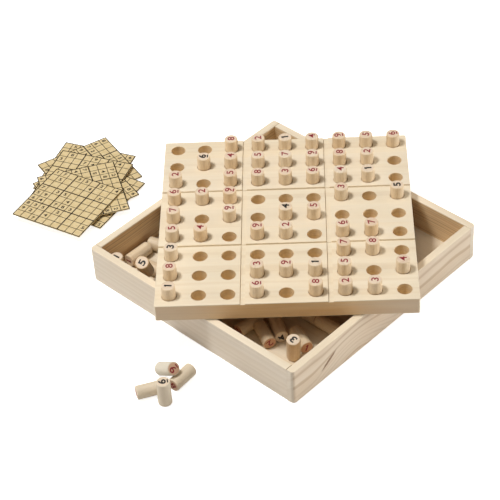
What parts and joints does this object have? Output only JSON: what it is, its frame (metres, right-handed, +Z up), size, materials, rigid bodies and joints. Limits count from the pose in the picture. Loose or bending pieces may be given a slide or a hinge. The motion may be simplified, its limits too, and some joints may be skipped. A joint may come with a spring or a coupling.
{
  "type": "wooden sudoku game",
  "caption": "Square wooden tray box with a drilled peg board laid on its rim, dowel number pegs that lift out of blind sockets, and a fan of puzzle cards beside it.",
  "frame": {"origin": "centre of the underside of the tray, on the surface the game stands on", "axes": "+Z up; +X and +Y square to the tray walls; in the picture +X faces the front right and -Y the front left"},
  "size_m": [0.366, 0.3031, 0.0541],
  "materials": {
    "wall_wood": "pale hardwood, clear satin lacquer",
    "floor_plywood": "thin plywood, clear satin lacquer",
    "board_wood": "pale glued strips, clear satin lacquer",
    "peg_wood": "pale turned dowel, sanded",
    "card_board": "buff card with a printed grid"
  },
  "bodies": {
    "tray": {"tray_wall_right": "wall_wood", "tray_wall_back": "wall_wood", "tray_wall_left": "wall_wood", "tray_wall_front": "wall_wood", "tray_floor": "floor_plywood"},
    "board": {"peg_board": "board_wood"},
    "board_peg_r1_c3": {"board_peg_r1_c3": "peg_wood"},
    "board_peg_r1_c4": {"board_peg_r1_c4": "peg_wood"},
    "board_peg_r1_c6": {"board_peg_r1_c6": "peg_wood"},
    "board_peg_r1_c7": {"board_peg_r1_c7": "peg_wood"},
    "board_peg_r1_c8": {"board_peg_r1_c8": "peg_wood"},
    "board_peg_r1_c9": {"board_peg_r1_c9": "peg_wood"},
    "board_peg_r2_c3": {"board_peg_r2_c3": "peg_wood"},
    "board_peg_r2_c4": {"board_peg_r2_c4": "peg_wood"},
    "board_peg_r2_c5": {"board_peg_r2_c5": "peg_wood"},
    "board_peg_r2_c6": {"board_peg_r2_c6": "peg_wood"},
    "board_peg_r2_c7": {"board_peg_r2_c7": "peg_wood"},
    "board_peg_r2_c8": {"board_peg_r2_c8": "peg_wood"},
    "board_peg_r3_c1": {"board_peg_r3_c1": "peg_wood"},
    "board_peg_r3_c3": {"board_peg_r3_c3": "peg_wood"},
    "board_peg_r3_c4": {"board_peg_r3_c4": "peg_wood"},
    "board_peg_r3_c5": {"board_peg_r3_c5": "peg_wood"},
    "board_peg_r3_c6": {"board_peg_r3_c6": "peg_wood"},
    "board_peg_r3_c7": {"board_peg_r3_c7": "peg_wood"},
    "board_peg_r4_c1": {"board_peg_r4_c1": "peg_wood"},
    "board_peg_r4_c2": {"board_peg_r4_c2": "peg_wood"},
    "board_peg_r4_c3": {"board_peg_r4_c3": "peg_wood"},
    "board_peg_r4_c7": {"board_peg_r4_c7": "peg_wood"},
    "board_peg_r5_c1": {"board_peg_r5_c1": "peg_wood"},
    "board_peg_r5_c3": {"board_peg_r5_c3": "peg_wood"},
    "board_peg_r5_c6": {"board_peg_r5_c6": "peg_wood"},
    "board_peg_r6_c1": {"board_peg_r6_c1": "peg_wood"},
    "board_peg_r6_c2": {"board_peg_r6_c2": "peg_wood"},
    "board_peg_r6_c4": {"board_peg_r6_c4": "peg_wood"},
    "board_peg_r6_c5": {"board_peg_r6_c5": "peg_wood"},
    "board_peg_r6_c7": {"board_peg_r6_c7": "peg_wood"},
    "board_peg_r6_c8": {"board_peg_r6_c8": "peg_wood"},
    "board_peg_r7_c7": {"board_peg_r7_c7": "peg_wood"},
    "board_peg_r7_c8": {"board_peg_r7_c8": "peg_wood"},
    "board_peg_r8_c1": {"board_peg_r8_c1": "peg_wood"},
    "board_peg_r8_c4": {"board_peg_r8_c4": "peg_wood"},
    "board_peg_r8_c5": {"board_peg_r8_c5": "peg_wood"},
    "board_peg_r8_c7": {"board_peg_r8_c7": "peg_wood"},
    "board_peg_r8_c9": {"board_peg_r8_c9": "peg_wood"},
    "board_peg_r9_c4": {"board_peg_r9_c4": "peg_wood"},
    "board_peg_r9_c6": {"board_peg_r9_c6": "peg_wood"},
    "board_peg_r9_c7": {"board_peg_r9_c7": "peg_wood"},
    "board_peg_r9_c8": {"board_peg_r9_c8": "peg_wood"},
    "table_peg_standing": {"table_peg_standing": "peg_wood"},
    "table_peg_near": {"table_peg_near": "peg_wood"},
    "table_peg_far": {"table_peg_far": "peg_wood"},
    "table_peg_leaning": {"table_peg_leaning": "peg_wood"},
    "puzzle_card_1": {"puzzle_card_1": "card_board"},
    "puzzle_card_2": {"puzzle_card_2": "card_board"},
    "puzzle_card_3": {"puzzle_card_3": "card_board"},
    "puzzle_card_4": {"puzzle_card_4": "card_board"},
    "puzzle_card_5": {"puzzle_card_5": "card_board"},
    "puzzle_card_6": {"puzzle_card_6": "card_board"},
    "puzzle_card_7": {"puzzle_card_7": "card_board"}
  },
  "joints": [
    {"name": "board_lift", "type": "slide", "parent": "tray", "child": "board", "axis": [0, 0, 1], "range_m": [0, 0.06]},
    {"name": "board_peg_r1_c3_lift", "type": "slide", "parent": "board", "child": "board_peg_r1_c3", "axis": [0, 0, 1], "range_m": [0, 0.025]},
    {"name": "board_peg_r1_c4_lift", "type": "slide", "parent": "board", "child": "board_peg_r1_c4", "axis": [0, 0, 1], "range_m": [0, 0.025]},
    {"name": "board_peg_r1_c6_lift", "type": "slide", "parent": "board", "child": "board_peg_r1_c6", "axis": [0, 0, 1], "range_m": [0, 0.025]},
    {"name": "board_peg_r1_c7_lift", "type": "slide", "parent": "board", "child": "board_peg_r1_c7", "axis": [0, 0, 1], "range_m": [0, 0.025]},
    {"name": "board_peg_r1_c8_lift", "type": "slide", "parent": "board", "child": "board_peg_r1_c8", "axis": [0, 0, 1], "range_m": [0, 0.025]},
    {"name": "board_peg_r1_c9_lift", "type": "slide", "parent": "board", "child": "board_peg_r1_c9", "axis": [0, 0, 1], "range_m": [0, 0.025]},
    {"name": "board_peg_r2_c3_lift", "type": "slide", "parent": "board", "child": "board_peg_r2_c3", "axis": [0, 0, 1], "range_m": [0, 0.025]},
    {"name": "board_peg_r2_c4_lift", "type": "slide", "parent": "board", "child": "board_peg_r2_c4", "axis": [0, 0, 1], "range_m": [0, 0.025]},
    {"name": "board_peg_r2_c5_lift", "type": "slide", "parent": "board", "child": "board_peg_r2_c5", "axis": [0, 0, 1], "range_m": [0, 0.025]},
    {"name": "board_peg_r2_c6_lift", "type": "slide", "parent": "board", "child": "board_peg_r2_c6", "axis": [0, 0, 1], "range_m": [0, 0.025]},
    {"name": "board_peg_r2_c7_lift", "type": "slide", "parent": "board", "child": "board_peg_r2_c7", "axis": [0, 0, 1], "range_m": [0, 0.025]},
    {"name": "board_peg_r2_c8_lift", "type": "slide", "parent": "board", "child": "board_peg_r2_c8", "axis": [0, 0, 1], "range_m": [0, 0.025]},
    {"name": "board_peg_r3_c1_lift", "type": "slide", "parent": "board", "child": "board_peg_r3_c1", "axis": [0, 0, 1], "range_m": [0, 0.025]},
    {"name": "board_peg_r3_c3_lift", "type": "slide", "parent": "board", "child": "board_peg_r3_c3", "axis": [0, 0, 1], "range_m": [0, 0.025]},
    {"name": "board_peg_r3_c4_lift", "type": "slide", "parent": "board", "child": "board_peg_r3_c4", "axis": [0, 0, 1], "range_m": [0, 0.025]},
    {"name": "board_peg_r3_c5_lift", "type": "slide", "parent": "board", "child": "board_peg_r3_c5", "axis": [0, 0, 1], "range_m": [0, 0.025]},
    {"name": "board_peg_r3_c6_lift", "type": "slide", "parent": "board", "child": "board_peg_r3_c6", "axis": [0, 0, 1], "range_m": [0, 0.025]},
    {"name": "board_peg_r3_c7_lift", "type": "slide", "parent": "board", "child": "board_peg_r3_c7", "axis": [0, 0, 1], "range_m": [0, 0.025]},
    {"name": "board_peg_r4_c1_lift", "type": "slide", "parent": "board", "child": "board_peg_r4_c1", "axis": [0, 0, 1], "range_m": [0, 0.025]},
    {"name": "board_peg_r4_c2_lift", "type": "slide", "parent": "board", "child": "board_peg_r4_c2", "axis": [0, 0, 1], "range_m": [0, 0.025]},
    {"name": "board_peg_r4_c3_lift", "type": "slide", "parent": "board", "child": "board_peg_r4_c3", "axis": [0, 0, 1], "range_m": [0, 0.025]},
    {"name": "board_peg_r4_c7_lift", "type": "slide", "parent": "board", "child": "board_peg_r4_c7", "axis": [0, 0, 1], "range_m": [0, 0.025]},
    {"name": "board_peg_r5_c1_lift", "type": "slide", "parent": "board", "child": "board_peg_r5_c1", "axis": [0, 0, 1], "range_m": [0, 0.025]},
    {"name": "board_peg_r5_c3_lift", "type": "slide", "parent": "board", "child": "board_peg_r5_c3", "axis": [0, 0, 1], "range_m": [0, 0.025]},
    {"name": "board_peg_r5_c6_lift", "type": "slide", "parent": "board", "child": "board_peg_r5_c6", "axis": [0, 0, 1], "range_m": [0, 0.025]},
    {"name": "board_peg_r6_c1_lift", "type": "slide", "parent": "board", "child": "board_peg_r6_c1", "axis": [0, 0, 1], "range_m": [0, 0.025]},
    {"name": "board_peg_r6_c2_lift", "type": "slide", "parent": "board", "child": "board_peg_r6_c2", "axis": [0, 0, 1], "range_m": [0, 0.025]},
    {"name": "board_peg_r6_c4_lift", "type": "slide", "parent": "board", "child": "board_peg_r6_c4", "axis": [0, 0, 1], "range_m": [0, 0.025]},
    {"name": "board_peg_r6_c5_lift", "type": "slide", "parent": "board", "child": "board_peg_r6_c5", "axis": [0, 0, 1], "range_m": [0, 0.025]},
    {"name": "board_peg_r6_c7_lift", "type": "slide", "parent": "board", "child": "board_peg_r6_c7", "axis": [0, 0, 1], "range_m": [0, 0.025]},
    {"name": "board_peg_r6_c8_lift", "type": "slide", "parent": "board", "child": "board_peg_r6_c8", "axis": [0, 0, 1], "range_m": [0, 0.025]},
    {"name": "board_peg_r7_c7_lift", "type": "slide", "parent": "board", "child": "board_peg_r7_c7", "axis": [0, 0, 1], "range_m": [0, 0.025]},
    {"name": "board_peg_r7_c8_lift", "type": "slide", "parent": "board", "child": "board_peg_r7_c8", "axis": [0, 0, 1], "range_m": [0, 0.025]},
    {"name": "board_peg_r8_c1_lift", "type": "slide", "parent": "board", "child": "board_peg_r8_c1", "axis": [0, 0, 1], "range_m": [0, 0.025]},
    {"name": "board_peg_r8_c4_lift", "type": "slide", "parent": "board", "child": "board_peg_r8_c4", "axis": [0, 0, 1], "range_m": [0, 0.025]},
    {"name": "board_peg_r8_c5_lift", "type": "slide", "parent": "board", "child": "board_peg_r8_c5", "axis": [0, 0, 1], "range_m": [0, 0.025]},
    {"name": "board_peg_r8_c7_lift", "type": "slide", "parent": "board", "child": "board_peg_r8_c7", "axis": [0, 0, 1], "range_m": [0, 0.025]},
    {"name": "board_peg_r8_c9_lift", "type": "slide", "parent": "board", "child": "board_peg_r8_c9", "axis": [0, 0, 1], "range_m": [0, 0.025]},
    {"name": "board_peg_r9_c4_lift", "type": "slide", "parent": "board", "child": "board_peg_r9_c4", "axis": [0, 0, 1], "range_m": [0, 0.025]},
    {"name": "board_peg_r9_c6_lift", "type": "slide", "parent": "board", "child": "board_peg_r9_c6", "axis": [0, 0, 1], "range_m": [0, 0.025]},
    {"name": "board_peg_r9_c7_lift", "type": "slide", "parent": "board", "child": "board_peg_r9_c7", "axis": [0, 0, 1], "range_m": [0, 0.025]},
    {"name": "board_peg_r9_c8_lift", "type": "slide", "parent": "board", "child": "board_peg_r9_c8", "axis": [0, 0, 1], "range_m": [0, 0.025]},
    {"name": "table_peg_standing_lift", "type": "slide", "parent": "tray", "child": "table_peg_standing", "axis": [0, 0, 1], "range_m": [0, 0.03]},
    {"name": "table_peg_near_lift", "type": "slide", "parent": "tray", "child": "table_peg_near", "axis": [0, 0, 1], "range_m": [0, 0.03]},
    {"name": "table_peg_far_lift", "type": "slide", "parent": "tray", "child": "table_peg_far", "axis": [0, 0, 1], "range_m": [0, 0.03]},
    {"name": "table_peg_leaning_lift", "type": "slide", "parent": "table_peg_far", "child": "table_peg_leaning", "axis": [0, 0, 1], "range_m": [0, 0.03]},
    {"name": "puzzle_card_1_lift", "type": "slide", "parent": "tray", "child": "puzzle_card_1", "axis": [0, 0, 1], "range_m": [0, 0.02]},
    {"name": "puzzle_card_2_lift", "type": "slide", "parent": "puzzle_card_1", "child": "puzzle_card_2", "axis": [0, 0, 1], "range_m": [0, 0.02]},
    {"name": "puzzle_card_3_lift", "type": "slide", "parent": "puzzle_card_2", "child": "puzzle_card_3", "axis": [0, 0, 1], "range_m": [0, 0.02]},
    {"name": "puzzle_card_4_lift", "type": "slide", "parent": "puzzle_card_3", "child": "puzzle_card_4", "axis": [0, 0, 1], "range_m": [0, 0.02]},
    {"name": "puzzle_card_5_lift", "type": "slide", "parent": "puzzle_card_4", "child": "puzzle_card_5", "axis": [0, 0, 1], "range_m": [0, 0.02]},
    {"name": "puzzle_card_6_lift", "type": "slide", "parent": "puzzle_card_5", "child": "puzzle_card_6", "axis": [0, 0, 1], "range_m": [0, 0.02]},
    {"name": "puzzle_card_7_lift", "type": "slide", "parent": "puzzle_card_6", "child": "puzzle_card_7", "axis": [0, 0, 1], "range_m": [0, 0.02]}
  ]
}
